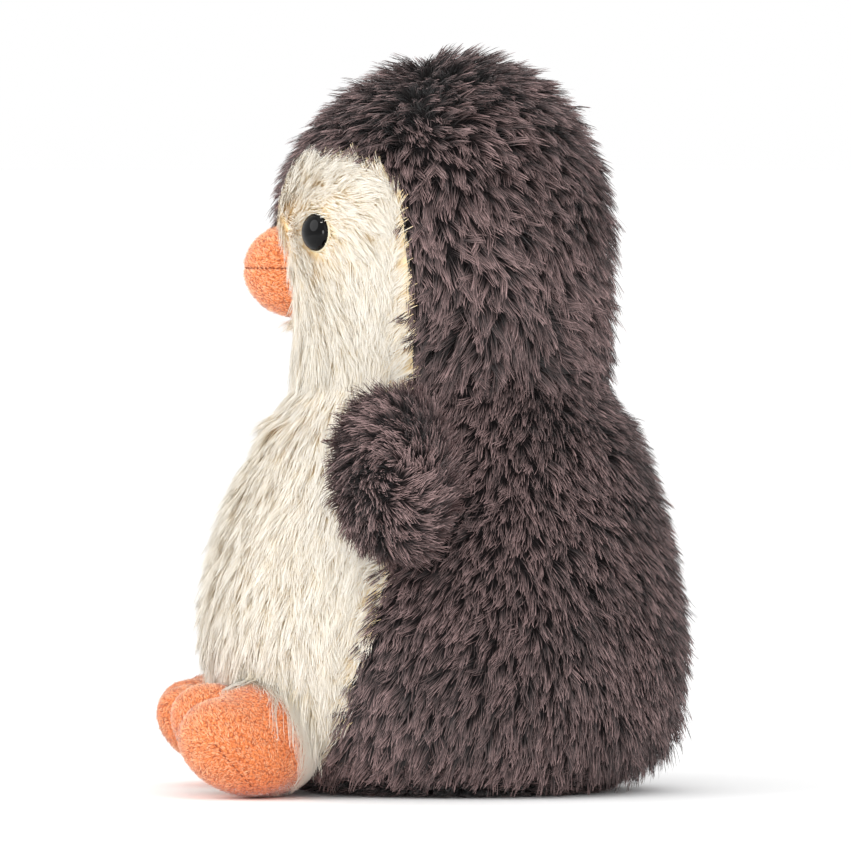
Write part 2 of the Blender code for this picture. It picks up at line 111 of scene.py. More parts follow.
def joint(name):
    return next(j for j in frame["joints"] if j["name"] == name)


EYES = [box_middle(f"eye_{side}") for side, _ in SIDES]
BEAK_LOW, BEAK_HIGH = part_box("beak_lower")[0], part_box("beak_upper")[1]
BEAK_ROOT = Vector((0, BEAK_HIGH.y, (BEAK_LOW.z + BEAK_HIGH.z) / 2))
WING_HINGE = Vector(joint("left_wing_swing")["pos_m"])
WING_TIP = Vector((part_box("wing_front_left")[1].x, WING_HINGE.y, box_middle("wing_front_left").z))
NECK_RIM, CHIN_RIM = (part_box(f"{panel}_left")[0].z for panel in ("hood_panel", "face_panel"))

# ---------------------------------------------------------------- materials


def linear(hex_colour):
    channels = [int(hex_colour[i : i + 2], 16) / 255 for i in (1, 3, 5)]
    return tuple(c / 12.92 if c <= 0.04045 else ((c + 0.055) / 1.055) ** 2.4 for c in channels) + (1.0,)


def add(tree, kind, settings=None, links=None, values=None):
    """A node with its settings, its socket values and what feeds its sockets."""
    node = tree.nodes.new(kind)
    for name, value in (settings or {}).items():
        setattr(node, name, value)
    for name, value in (values or {}).items():
        node.inputs[name].default_value = value
    for name, source in (links or {}).items():
        tree.links.new(source, node.inputs[name])
    return node


def ramp(tree, source, stops):
    node = add(tree, "ShaderNodeValToRGB", links={"Fac": source})
    elements = node.color_ramp.elements
    while len(elements) < len(stops):
        elements.new(0.5)
    for element, (place, colour) in zip(elements, stops):
        element.position = place
        element.color = linear(colour)
    return node.outputs["Color"]


def new_material(name, **values):
    mat = bpy.data.materials.new(name)
    mat.use_nodes = True
    shader = mat.node_tree.nodes["Principled BSDF"]
    for socket, value in values.items():
        shader.inputs[socket.replace("_", " ")].default_value = value
    return mat, mat.node_tree, shader


def pile_material(name, dull, bright, roughness, sheen):
    """Polyester pile: each fibre is darker towards its root, as painted shade deep in the pile, and neighbours
    differ a little in tone.
    """
    mat, tree, shader = new_material(name, Roughness=roughness, Sheen_Weight=sheen, Sheen_Roughness=0.4)
    place = add(tree, "ShaderNodeUVMap", {"uv_map": FIBRE_UV}).outputs["UV"]
    split = add(tree, "ShaderNodeSeparateXYZ", links={"Vector": place})
    low, high = (ramp(tree, split.outputs["Y"], stops) for stops in (dull, bright))
    mixed = add(tree, "ShaderNodeMix", {"data_type": "RGBA"}, {"Factor": split.outputs["X"]})
    tree.links.new(low, mixed.inputs[6])
    tree.links.new(high, mixed.inputs[7])
    tree.links.new(mixed.outputs[2], shader.inputs["Base Color"])
    return mat


def spotted_material(name, size, stops, roughness, bump=0.0, pattern="ShaderNodeTexNoise", **values):
    """Two or three near tones broken up at one real size, raised a little where bump asks for it."""
    mat, tree, shader = new_material(name, Roughness=roughness, **values)
    where = add(tree, "ShaderNodeTexCoord").outputs["Object"]
    grain = add(tree, pattern, links={"Vector": where}, values={"Scale": 1 / size})
    value = grain.outputs["Fac" if "Fac" in grain.outputs else "Distance"]
    tree.links.new(ramp(tree, value, stops), shader.inputs["Base Color"])
    if bump:
        relief = add(tree, "ShaderNodeBump", links={"Height": value},
                     values={"Strength": 0.6, "Distance": bump})
        tree.links.new(relief.outputs["Normal"], shader.inputs["Normal"])
    return mat


CELLS = "ShaderNodeTexVoronoi"
MATERIALS = {
    # brushed pile in warm grey, in tones that differ from tuft to tuft; near-black towards the roots as painted
    # shade deep in the pile, and pale towards the tips as a painted highlight
    "charcoal": pile_material(
        "charcoal brushed polyester pile",
        [(0.0, "#060404"), (0.5, "#100B0B"), (0.8, "#2F2221"), (1.0, "#4D3A39")],
        [(0.0, "#0C0808"), (0.5, "#392A2A"), (0.8, "#856B69"), (1.0, "#BA9B98")],
        0.55, 0.1),
    # finer pile, nearly white; the warm gold towards the roots is painted shade, the warm tone the pile takes down
    # between the tufts
    "cream": pile_material(
        "cream brushed polyester pile",
        [(0.0, "#E8C485"), (0.3, "#E9D3A7"), (0.65, "#E9E0CE"), (1.0, "#EAE4D9")],
        [(0.0, "#E9D3A7"), (0.3, "#E9DEC6"), (0.65, "#E9E4D9"), (1.0, "#EAE7DF")],
        0.6, 0.1),
    # sheared loops: mostly pale orange, and some dark, as the rust flecks of terry; sheen pales its edges
    "orange": pile_material(
        "orange sheared terry pile",
        [(0.0, "#8E3E1A"), (0.5, "#AE5628"), (1.0, "#C46C3C")],
        [(0.0, "#F0A066"), (0.5, "#FDBB88"), (1.0, "#FFD4B2")],
        0.8, 0.8),
    # close knit the pile grows from, coloured as painted shade: near-black under the charcoal and warm gold under
    # the cream, for the shade down between the tufts, so that no other colour shows through
    "charcoal_backing": spotted_material(
        "charcoal knitted backing", 1.2 * MM, [(0.35, "#171213"), (0.65, "#241D1F")], 0.95),
    "cream_backing": spotted_material(
        "cream knitted backing", 1.2 * MM, [(0.35, "#F3DCA8"), (0.65, "#F8E9C8")], 0.95),
    # terry ground, speckled where it shows between the loops
    "terry": spotted_material(
        "orange terry ground", 0.7 * MM, [(0.0, "#EE9658"), (0.5, "#D6743C"), (0.8, "#A04A20")], 0.9,
        -0.3 * MM, CELLS, Sheen_Weight=0.3),
    "stitch": spotted_material(
        "rust sewing thread", 0.3 * MM, [(0.3, "#6E2C12"), (0.7, "#8A3D1C")], 0.7),
    # black and polished, for small sharp highlights
    "eye": new_material(
        "polished black acrylic", Base_Color=linear("#020203"), Roughness=0.05, IOR=1.27)[0],
    # the eye's moulded lip, painted pale as the reflection along the eye's edge, which shows as a thin pale line
    "eye_lip": new_material("pale horn acrylic", Base_Color=linear("#D8CDB0"), Roughness=0.25)[0],
    # the parts sewn inside
    "stuffing": spotted_material(
        "polyester fibre filling", 3.0 * MM, [(0.3, "#E9E6DE"), (0.7, "#F7F5F0")], 0.95, 1.0 * MM),
    "pouch": spotted_material(
        "woven cotton pouch", 0.6 * MM, [(0.3, "#D5CCB8"), (0.7, "#E8E1D0")], 0.9, 0.2 * MM, CELLS),
    "beads": spotted_material(
        "plastic bead filling", 2.5 * MM, [(0.1, "#E6E3DB"), (0.6, "#A9A69D")], 0.45, -0.8 * MM, CELLS),
    "washer": spotted_material(
        "moulded nylon washer", 5.0 * MM, [(0.4, "#E4E1D9"), (0.6, "#ECEAE3")], 0.45),
}
INNER_PARTS = {
    "stuffing": ("torso_stuffing", "neck_stuffing", "head_stuffing", "beak_stuffing", "wing_stuffing_left",
                 "wing_stuffing_right", "foot_stuffing_left", "foot_stuffing_right"),
    "pouch": ("bead_pouch",),
    "beads": ("bead_filling",),
    "washer": ("eye_washer_left", "eye_washer_right"),
}

# ---------------------------------------------------------------- surfaces to grow pile on


class Surface:
    """A patch of skin: points, smooth outward normals and triangles."""

    def __init__(self, points, normals, triangles):
        self.points, self.normals, self.triangles = points, normals, triangles
        a, b, c = (points[triangles[:, i]] for i in range(3))
        self.areas = np.linalg.norm(np.cross(b - a, c - a), axis=1) / 2

    def below(self, height):
        low = self.points[self.triangles][:, :, 2].mean(axis=1) < height
        return Surface(self.points, self.normals, self.triangles[low])

    def sample(self, count, rng):
        """Random points, spread evenly over the skin, and which way is out at each."""
        chosen = rng.choice(len(self.triangles), count, p=self.areas / self.areas.sum())
        u, v = rng.random(count), rng.random(count)
        over = u + v > 1
        u[over], v[over] = 1 - u[over], 1 - v[over]
        weights = np.stack([1 - u - v, u, v], axis=1)[:, :, None]
        corners = self.triangles[chosen]
        points = (self.points[corners] * weights).sum(axis=1)
        normals = (self.normals[corners] * weights).sum(axis=1)
        return points, normals / np.linalg.norm(normals, axis=1)[:, None]


def tree_of(nodes):
    points, faces = [], []
    for name in nodes:
        mesh = frame["nodes"][name].data
        start = len(points)
        points += [v.co.copy() for v in mesh.vertices]
        faces += [[start + i for i in p.vertices] for p in mesh.polygons]
    return BVHTree.FromPolygons(points, faces)


def mesh_surface(bm, smoothing):
    """The bmesh as a Surface, with its normals averaged over neighbours."""
    bmesh.ops.triangulate(bm, faces=bm.faces)
    bm.normal_update()
    bm.verts.index_update()
    points = np.array([v.co for v in bm.verts])
    normals = np.array([v.normal for v in bm.verts])
    edges = np.array([[v.index for v in e.verts] for e in bm.edges])
    for _ in range(smoothing):
        total = normals.copy()
        np.add.at(total, edges[:, 0], normals[edges[:, 1]])
        np.add.at(total, edges[:, 1], normals[edges[:, 0]])
        normals = total / np.maximum(np.linalg.norm(total, axis=1), 1e-9)[:, None]
    triangles = np.array([[v.index for v in f.verts] for f in bm.faces])
    return Surface(points, normals, triangles)


def outer_skin(node, blockers):
    """The faces of a CAD panel that look out of the toy, with nothing close over them, evenly divided."""
    mesh = frame["nodes"][node].data
    bm = bmesh.new()
    bm.from_mesh(mesh)
    hidden = [f for f in bm.faces if blockers.ray_cast(
        f.calc_center_median() + f.normal * 0.02 * MM, f.normal, 10 * MM)[0] is not None]
    bmesh.ops.delete(bm, geom=hidden, context="FACES")
    bmesh.ops.remove_doubles(bm, verts=bm.verts, dist=0.1 * MM)
    for _ in range(3):
        long = [e for e in bm.edges if e.calc_length() > 6 * MM]
        bmesh.ops.subdivide_edges(bm, edges=long, cuts=1)
        bmesh.ops.triangulate(bm, faces=bm.faces)
    return mesh_surface(bm, smoothing=10)


def linked(name, data):
    obj = bpy.data.objects.new(name, data)
    bpy.context.scene.collection.objects.link(obj)
    return obj


def make_object(name, points, faces, mat):
    mesh = bpy.data.meshes.new(name)
    mesh.from_pydata(points.tolist(), [], faces.tolist())
    mesh.validate()
    mesh.materials.append(mat)
    mesh.shade_smooth()
    return linked(name, mesh)


def mesh_from(bm, name):
    mesh = bpy.data.meshes.new(name)
    bm.to_mesh(mesh)
    bm.free()
    return mesh


# ---------------------------------------------------------------- pile


def unit(vectors):
    return vectors / np.maximum(np.linalg.norm(vectors, axis=-1, keepdims=True), 1e-12)


def laid(directions, normals):
    """Directions laid flat on the surface."""
    return unit(directions - (directions * normals).sum(axis=1)[:, None] * normals)


def eased(value, low, high):
    """0 below low, 1 above high, smooth between."""
    t = np.clip((value - low) / (high - low), 0, 1)
    return t * t * (3 - 2 * t)


def spaced(points, normals, gap):
    """Drops points closer than gap to one kept before."""
    cells, kept = {}, []
    keys = np.floor(points / gap).astype(int).tolist()
    around = [(i, j, k) for i in (-1, 0, 1) for j in (-1, 0, 1) for k in (-1, 0, 1)]
    for n, ((kx, ky, kz), (x, y, z)) in enumerate(zip(keys, points.tolist())):
        near = (cells.get((kx + i, ky + j, kz + k), ()) for i, j, k in around)
        if any((x - a) ** 2 + (y - b) ** 2 + (z - c) ** 2 < gap * gap for group in near for a, b, c in group):
            continue
        cells.setdefault((kx, ky, kz), []).append((x, y, z))
        kept.append(n)
    return points[kept], normals[kept]


def waves(points, seed, size):
    """A smooth value from -1 to 1 that changes over about size metres."""
    rng = np.random.default_rng(seed)
    total = np.zeros(len(points))
    for _ in range(5):
        total += np.sin(points @ (rng.normal(size=3) * 2.2 / size) + rng.uniform(0, 6.3))
    return np.clip(total / 2.6, -1, 1)


@dataclass
class Coat:
    """How one kind of pile grows. Lengths are given in millimetres, and angles in radians."""

    material: str
    gap: float              # from tuft to tuft
    strands: int            # in a tuft
    length: float
    depth: float            # how far in the roots start
    rise: float             # how high the tips stand
    spread: float           # of a tuft's roots
    gather: float           # how far a tuft draws together towards its tip, 0 to 1
    wander: float           # how far a tuft's heading differs from its neighbours'
    width: float            # of a strand
    swirl: float            # how far the heading drifts, over swirl_size
    swirl_size: float = 14
    stray: float = 0.4      # how far a strand's tip leaves its tuft
    uneven: float = 0.25    # how far tufts differ in rise
    tone: float = 0.5       # 0 dull to 1 bright
    vary: float = 0.12      # how far tufts differ in tone
    flecks: float = 0.0     # share of strands that are as dull as can be
    smooth: float = 0.7     # how far a strand is lit as the skin under it
    twist: float = 0.9      # how far a strand turns about its own length
    steps: tuple = (0, 0.35, 0.68, 0.92, 1)     # along a strand

    def __post_init__(self):
        for name in ("gap", "length", "depth", "rise", "spread", "width", "swirl_size", "stray"):
            setattr(self, name, getattr(self, name) * MM)
        self.steps = np.array(self.steps, float)


TERRY = dict(gap=0.8, strands=5, length=1.9, depth=0.2, rise=0.4, spread=0.35, gather=0.0, wander=0.5,
             width=0.16, swirl=1.4, swirl_size=12, stray=0.1, flecks=0.17, smooth=1.6, steps=(0, 0.6, 1))
COATS = {
    "back": Coat("charcoal", gap=1.85, strands=14, length=8.5, depth=4.5, rise=2.3, spread=1.0, gather=0.3,
                 wander=0.2, width=0.25, swirl=0.22, vary=0.18),
    "hood": Coat("charcoal", gap=2.1, strands=18, length=10.5, depth=4.5, rise=2.6, spread=1.2, gather=0.5,
                 wander=0.34, width=0.26, swirl=0.45, uneven=0.35, tone=0.53, vary=0.18),
    # the wing's pile is toned brighter than the same charcoal on the body: painted light on the wing
    "wing": Coat("charcoal", gap=1.7, strands=16, length=5.5, depth=3.0, rise=4.2, spread=1.0, gather=0.25,
                 wander=0.45, width=0.25, swirl=0.5, swirl_size=9, tone=0.95),
    "cream": Coat("cream", gap=1.9, strands=28, length=12, depth=1.0, rise=2.5, spread=1.4, gather=0.25,
                  wander=0.09, width=0.2, swirl=0.2, uneven=0.12, smooth=5.0, twist=0.35),
    "terry": Coat("orange", tone=0.7, **TERRY),
    "beak": Coat("orange", tone=0.9, **TERRY),
}


def fibres(surface, coat, rng, flow, trim, avoid, shade):
    """Every strand on a surface: its centre line, which way is out, and its tone."""
    wanted = int(surface.areas.sum() / coat.gap**2 * SOWN)
    points, normals = spaced(*surface.sample(wanted, rng), coat.gap)
    clear = ~avoid(points)
    points, normals = points[clear], normals[clear]
    count, each = len(points), coat.strands
    heading = laid(flow(points, normals), normals)
    side = np.cross(normals, heading)
    turn = coat.swirl * waves(points, SEED + 3, coat.swirl_size) + rng.normal(0, coat.wander, count)
    heading = np.cos(turn)[:, None] * heading + np.sin(turn)[:, None] * side
    side = np.cross(normals, heading)
    size, raised = trim(points, normals)
    size = (size * rng.uniform(0.8, 1.15, count))[:, None, None]
    lift = (raised * np.clip(rng.normal(1.0, coat.uneven, count), 0.3, 2.0))[:, None, None]
    tone = coat.tone + 0.15 * waves(points, SEED + 7, 20 * MM) + rng.normal(0, coat.vary, count)
    tone = tone + shade(points)
    bend = rng.normal(0, 0.22, count)[:, None, None]

    # along each strand: out along the skin, to the side as it bends, and up from its root
    t = coat.steps[None, None, :]
    grow = rng.uniform(0.7, 1.08, (count, each))[:, :, None]
    spread = rng.normal(0, 1, (count, each, 2, 1)) * coat.spread
    depth = coat.depth * np.minimum(size, 1)
    height = -depth + (depth + coat.rise * lift * size) * (1.55 * t - 0.55 * t**2) * grow
    length = coat.length * size * grow
    hold = 1 - coat.gather * t**0.8
    ahead = length * (0.42 * t + 0.38 * t**2) + spread[:, :, 0] * hold
    aside = length * bend * 0.6 * t**2 + spread[:, :, 1] * hold
    stray = rng.normal(0, coat.stray, (count, each, 3))[:, :, None, :] * (t**1.5)[..., None]
    lines = points[:, None, None, :] + stray
    for amount, way in ((ahead, heading), (aside, side), (height, normals)):
        lines = lines + amount[..., None] * way[:, None, None, :]
    tones = tone[:, None] + rng.normal(0, 0.22, (count, each))
    if coat.flecks:
        tones = np.where(rng.random((count, each)) < coat.flecks, 0.0, tones)
    tones = np.clip(tones, 0.01, 0.99)
    lines = lines.reshape(-1, len(coat.steps), 3)
    lines[..., 2] = np.maximum(lines[..., 2], RESTING)
    return lines, np.repeat(normals, each, axis=0), tones.reshape(-1)


def draped(lines, under):
    """Fibres that start beside a thing set against the skin lie on it where they would sink in."""

    def sunk(point):
        spot, normal, _, _ = under.find_nearest(Vector(point))
        return (spot - Vector(point)).dot(normal), spot, normal

    for n in np.flatnonzero((lines[:, 0, 2] < DRAPE_BELOW) & (lines[:, 0, 1] < DRAPE_AHEAD)):
        if sunk(lines[n, 0])[0] > DRAPE_ROOT:
            continue
        for k in range(1, lines.shape[1]):
            depth, spot, normal = sunk(lines[n, k])
            if -0.3 * MM < depth < DRAPE_DEPTH:
                lines[n, k] = spot + normal * (0.3 + 0.3 * k) * MM
    lines[..., 2] = np.maximum(lines[..., 2], RESTING)
    return lines


def ribbon_mesh(name, lines, outward, tones, coat, rng):
    """One mesh of tapering ribbons, each turned a random way about its own length."""
    count, rows, _ = lines.shape
    tangent = unit(np.gradient(lines, axis=1))
    across = unit(np.cross(tangent, outward[:, None, :]))
    over = np.cross(across, tangent)
    twist = coat.twist * rng.uniform(-1, 1, count)[:, None, None]
    across = np.cos(twist) * across + np.sin(twist) * over
    t = coat.steps
    taper = (1.0 - 0.1 * t - 0.4 * t**3)[None, :, None]
    half = coat.width / 2 * taper * rng.uniform(0.7, 1.3, count)[:, None, None]
    body = np.stack([lines - across * half, lines + across * half], axis=2)[:, :-1].reshape(count, -1, 3)
    verts = np.concatenate([body, lines[:, -1:, :]], axis=1)
    per = verts.shape[1]
    pattern = [i for r in range(rows - 2) for i in (2 * r, 2 * r + 1, 2 * r + 3, 2 * r + 2)]
    pattern = np.array(pattern + [per - 3, per - 2, per - 1])
    first = np.arange(rows - 1) * 4
    corner = (np.arange(count)[:, None] * per + pattern).reshape(-1)
    start = (np.arange(count)[:, None] * len(pattern) + first).reshape(-1)
    up = np.append(np.repeat(t[:-1], 2), 1.0)[pattern]
    uv = np.stack([np.repeat(tones, len(pattern)), np.tile(0.02 + 0.96 * up, count)], axis=1)

    mesh = bpy.data.meshes.new(name)
    mesh.vertices.add(count * per)
    mesh.vertices.foreach_set("co", verts.reshape(-1).astype(np.float32))
    mesh.loops.add(len(corner))
    mesh.loops.foreach_set("vertex_index", corner.astype(np.int32))
    mesh.polygons.add(len(start))
    mesh.polygons.foreach_set("loop_start", start.astype(np.int32))
    mesh.polygons.foreach_set("use_smooth", np.ones(len(start), bool))
    mesh.update(calc_edges=True)
    # lit partly as the skin it grows from, so that a coat shades as one soft form
    shaded = unit(np.cross(across, tangent) + coat.smooth * outward[:, None, :])
    shaded = np.concatenate([np.repeat(shaded[:, :-1], 2, axis=1), shaded[:, -1:]], axis=1)
    normal = mesh.attributes.new("custom_normal", "FLOAT_VECTOR", "POINT")
    normal.data.foreach_set("vector", shaded.reshape(-1).astype(np.float32))
    layer = mesh.uv_layers.new(name=FIBRE_UV)
    layer.data.foreach_set("uv", uv.reshape(-1).astype(np.float32))
    mesh.materials.append(MATERIALS[coat.material])
    return linked(name, mesh)


def even(points, normals):
    return np.ones(len(points)), np.ones(len(points))


def nowhere(points):
    return np.zeros(len(points), bool)


def unshaded(points):
    return np.zeros(len(points))


def grow_pile(name, surface, kind, body, seed, flow, trim=even, avoid=nowhere, under=None, shade=unshaded):
    coat, rng = COATS[kind], np.random.default_rng(SEED + seed)
    lines, outward, tones = fibres(surface, coat, rng, flow, trim, avoid, shade)
    if under:
        lines = draped(lines, under)
    parts = max(1, math.ceil(len(lines) / MAX_STRANDS))
    for i, chosen in enumerate(np.array_split(np.arange(len(lines)), parts)):
        label = name if parts == 1 else f"{name}_{i + 1}"
        obj = ribbon_mesh(label, lines[chosen], outward[chosen], tones[chosen], coat, rng)
        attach(obj, body)


def finish_piece(obj, body, nodes=()):
    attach(obj, body)
    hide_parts(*nodes)
    return obj


def backing(name, surface, coat, body, nodes, core):
    """The cloth, set in under its pile but never under the stuffing."""
    points = surface.points - surface.normals * coat.depth
    for i, point in enumerate(points):
        spot, normal, _, gap = core.find_nearest(Vector(point))
        if gap < CORE_GAP or (Vector(point) - spot).dot(normal) < CORE_GAP:
            points[i] = spot + normal * CORE_GAP
    points[:, 2] = np.maximum(points[:, 2], RESTING)
    obj = make_object(name, points, surface.triangles, MATERIALS[coat.material + "_backing"])
    return finish_piece(obj, body, nodes)


# ---------------------------------------------------------------- which way the pile is brushed


def brushed_back(points, normals):
    """Down, and forward where it nears the belly."""
    ahead = 0.65 * (1 - eased(points[:, 1], 5 * MM, 55 * MM))
    return np.stack([0.15 * normals[:, 0], 0.15 * normals[:, 1] - ahead, -np.ones(len(points))], axis=1)


def brushed_base(points, normals):
    """Out from the middle of the seat."""
    return points * [1, 1, 0] - [0, 10 * MM, 0]


def brushed_hood(points, normals):
    """Down from the parting, forward on one side of it and back on the other, and apart at the dart."""
    y, z = points[:, 1], points[:, 2]
    top = np.clip(normals[:, 2], 0, 1)
    back = 2 * eased(y, PARTING - 10 * MM, PARTING + 10 * MM) - 1
    dart = 0.25 * np.tanh((y - DART.y) / (6 * MM)) * (1 - eased(z, DART.z - 10 * MM, DART.z + 10 * MM))
    aside = 2.2 * top * points[:, 0] / (50 * MM)
    return np.stack([aside, back * (0.15 + 1.6 * top) + dart, -np.ones(len(y))], axis=1)


def brushed_belly(points, normals):
    """Down, and out to the sides."""
    return np.stack([0.4 * points[:, 0] / (60 * MM), -0.12 + 0 * points[:, 0], -np.ones(len(points))], axis=1)


def brushed_face(points, normals):
    """Over the beak's root, and away from it elsewhere: back above the eye, turning down below it."""
    near = 1 - eased(gap_to_beak(points), 2 * MM, 7 * MM)
    away = unit(points - np.array(BEAK_ROOT)) * (1 - 1.2 * near)[:, None]
    y, up = points[:, 1], points[:, 2] - BEAK_ROOT.z
    low = 1 - eased(up, -5 * MM, 22 * MM)
    cheek = eased(y, -35 * MM, -12 * MM) * (1 - eased(up, 18 * MM, 36 * MM))
    back, rise = 0.7 - 0.35 * low - 0.5 * cheek - 0.4 * near, -0.1 - 1.3 * low - 0.9 * cheek
    return away + np.stack([0 * low, back, rise], axis=1)


def brushed_wing(sign):
    """Round the wing's length and out to its tip."""
    hinge, tip = np.array(WING_HINGE) * [sign, 1, 1], np.array(WING_TIP) * [sign, 1, 1]
    axis = unit(tip - hinge)

    def flow(points, normals):
        radial = points - hinge
        radial = unit(radial - (radial @ axis)[:, None] * axis)
        return 0.6 * axis + 0.9 * np.cross(axis, radial) + 0.2 * radial

    return flow


def any_way(points, normals):
    return np.cross(normals, [0.3, 0.2, 1.0])


# ---------------------------------------------------------------- how long it is


def gap_to_eyes(points):
    """From a spot a little in front of each eye, since pile lies over its rear edge only."""
    spots = [np.array(eye) - [0, EYE_FRONT, 0] for eye in EYES]
    return np.min([np.linalg.norm(points - spot, axis=1) for spot in spots], axis=0)


def gap_to_beak(points):
    """From the round of the beak's root, seen from the front; negative inside it."""
    low, high = np.array(BEAK_LOW), np.array(BEAK_HIGH)
    radius = (high - low)[[0, 2]] / 2
    offset = np.abs(points[:, [0, 2]] - ((high + low) / 2)[[0, 2]])
    return (np.linalg.norm(offset / radius, axis=1) - 1) * radius.mean()


def seam_gap(points, tree):
    """How far each point is from the other colour, and the way that leads from it."""
    hits = [tree.find_nearest(Vector(p)) for p in points]
    away = points - np.array([hit[0] for hit in hits])
    return np.array([hit[3] for hit in hits]), unit(away)


def kept_off(flow, tree, reach, push):
    """The flow, turned from a seam within reach of it."""

    def turned(points, normals):
        gap, away = seam_gap(points, tree)
        near = push * (1 - eased(gap, 0, reach)) * eased(gap, 0.1 * MM, 0.5 * MM)
        return unit(laid(flow(points, normals), normals)) + near[:, None] * away

    return turned


def trimmed_near(tree, reach, least):
    """Shorter and flatter within reach of a seam."""

    def trim(points, normals):
        gap, _ = seam_gap(points, tree)
        share = eased(gap, 0, reach)
        return least + (1 - least) * share, 0.5 + 0.5 * share

    return trim


def face_trim(tree):
    """Short round the eyes and at the seam, flat over the beak's root, and longer at the chin."""
    near_seam = trimmed_near(tree, 10 * MM, 0.6)

    def trim(points, normals):
        size, lift = near_seam(points, normals)
        share = eased(gap_to_eyes(points), 6 * MM, 16 * MM)
        beak = 1 - eased(gap_to_beak(points), 0, 9 * MM)
        hem = 1 - eased(points[:, 2], CHIN_RIM, CHIN_RIM + 12 * MM)
        return size * (0.5 + 0.5 * share) * (1 + 0.3 * hem), lift * (0.5 + 0.5 * share) * (1 - 0.6 * beak)

    return trim


def hood_trim(faces):
    """Fuller at the rim that hangs over the shoulders and at the crown's parting, and short by the face."""
    near_face = trimmed_near(faces, 7 * MM, 0.6)

    def trim(points, normals):
        size, lift = near_face(points, normals)
        rim = 1 - eased(points[:, 2], NECK_RIM + 3 * MM, NECK_RIM + 12 * MM)
        parting = eased(normals[:, 2], 0.4, 0.9) * (1 - eased(np.abs(points[:, 1] - PARTING), 0, 18 * MM))
        brow = 1 - eased(points[:, 1], -0.035, -0.018)
        return size * (1 + 0.1 * rim - 0.25 * parting), lift * (1 - 0.3 * rim + 0.8 * parting - 0.5 * brow)

    return trim


def belly_trim(backs, feet):
    """Short at the side seams, and long enough above the feet to hang over them."""
    near_seam = trimmed_near(backs, 10 * MM, 0.6)

    def trim(points, normals):
        size, lift = near_seam(points, normals)
        over = 1 - eased(seam_gap(points, feet)[0], 2 * MM, 11 * MM)
        worn = np.exp(-(((points - np.array(WORN)) / np.array(WORN_SIZE))[:, 1:] ** 2).sum(axis=1))
        collar = eased(points[:, 2], 98 * MM, 114 * MM)
        hem = 1 - eased(points[:, 2], BASE_SEAM, BASE_SEAM + 14 * MM)
        size = size * (1 + 0.4 * over) * (1 - 0.7 * worn) * (1 - 0.45 * hem)
        return collar_trim(points, size, lift * (1.4 + 1.2 * over - 0.9 * collar))

    return trim


def collar_trim(points, size, lift):
    """Cropped where the head covers it."""
    covered = eased(points[:, 2], NECK_RIM - 1 * MM, NECK_RIM + 4 * MM)
    return size * (1 - 0.45 * covered), lift * (1 - 0.8 * covered)


def back_trim(points, normals):
    """Flatter where the hood hangs over it, and fuller where it turns under at the seat."""
    neck = eased(points[:, 2], NECK_RIM - 16 * MM, NECK_RIM)
    seat = np.exp(-(((points[:, 2] - 20 * MM) / (10 * MM)) ** 2)) * eased(points[:, 1], 0, 50 * MM)
    return collar_trim(points, 1 - 0.1 * neck, 1 - 0.3 * neck + 1.2 * seat)


def cropped(size, lift):
    """The same all over."""
    return lambda points, normals: (np.full(len(points), size), np.full(len(points), lift))


# ---------------------------------------------------------------- where none grows, and where shade is painted


def under_eye(points):
    return gap_to_eyes(points) < EYE_BARE


def under_head(points):
    return points[:, 2] > NECK_RIM + 9 * MM


def off_belly(points):
    return (points[:, 2] < BASE_SEAM) | under_head(points)


def behind(tree):
    """Painted shade: the back's pile is toned darker near the wings, as the shade they cast on it."""
    return lambda points: -0.45 * (1 - eased(seam_gap(points, tree)[0], 5 * MM, 17 * MM))


# ---------------------------------------------------------------- the toy

PANELS = {
    "belly_panel": ("torso", "cream"),
    "back_panel_left": ("torso", "back"),
    "back_panel_right": ("torso", "back"),
    "base_panel": ("torso", "back"),
    "face_panel_left": ("head", "cream"),
    "face_panel_right": ("head", "cream"),
    "hood_panel_left": ("head", "hood"),
    "hood_panel_right": ("head", "hood"),
}


def surface_tree(surfaces):
    """To find the nearest place on any of the surfaces."""
    points, faces, start = [], [], 0
    for surface in surfaces:
        points.append(surface.points)
        faces.append(surface.triangles + start)
        start += len(surface.points)
    return BVHTree.FromPolygons(np.concatenate(points).tolist(), np.concatenate(faces).tolist())


def joined_tree(forms):
    """To find the nearest place on any of the forms, which stay as they are."""
    both = bmesh.new()
    for bm in forms:
        mesh = mesh_from(bm.copy(), "form")
        both.from_mesh(mesh)
        bpy.data.meshes.remove(mesh)
    bmesh.ops.recalc_face_normals(both, faces=both.faces)
    tree = BVHTree.FromBMesh(both)
    both.free()
    return tree


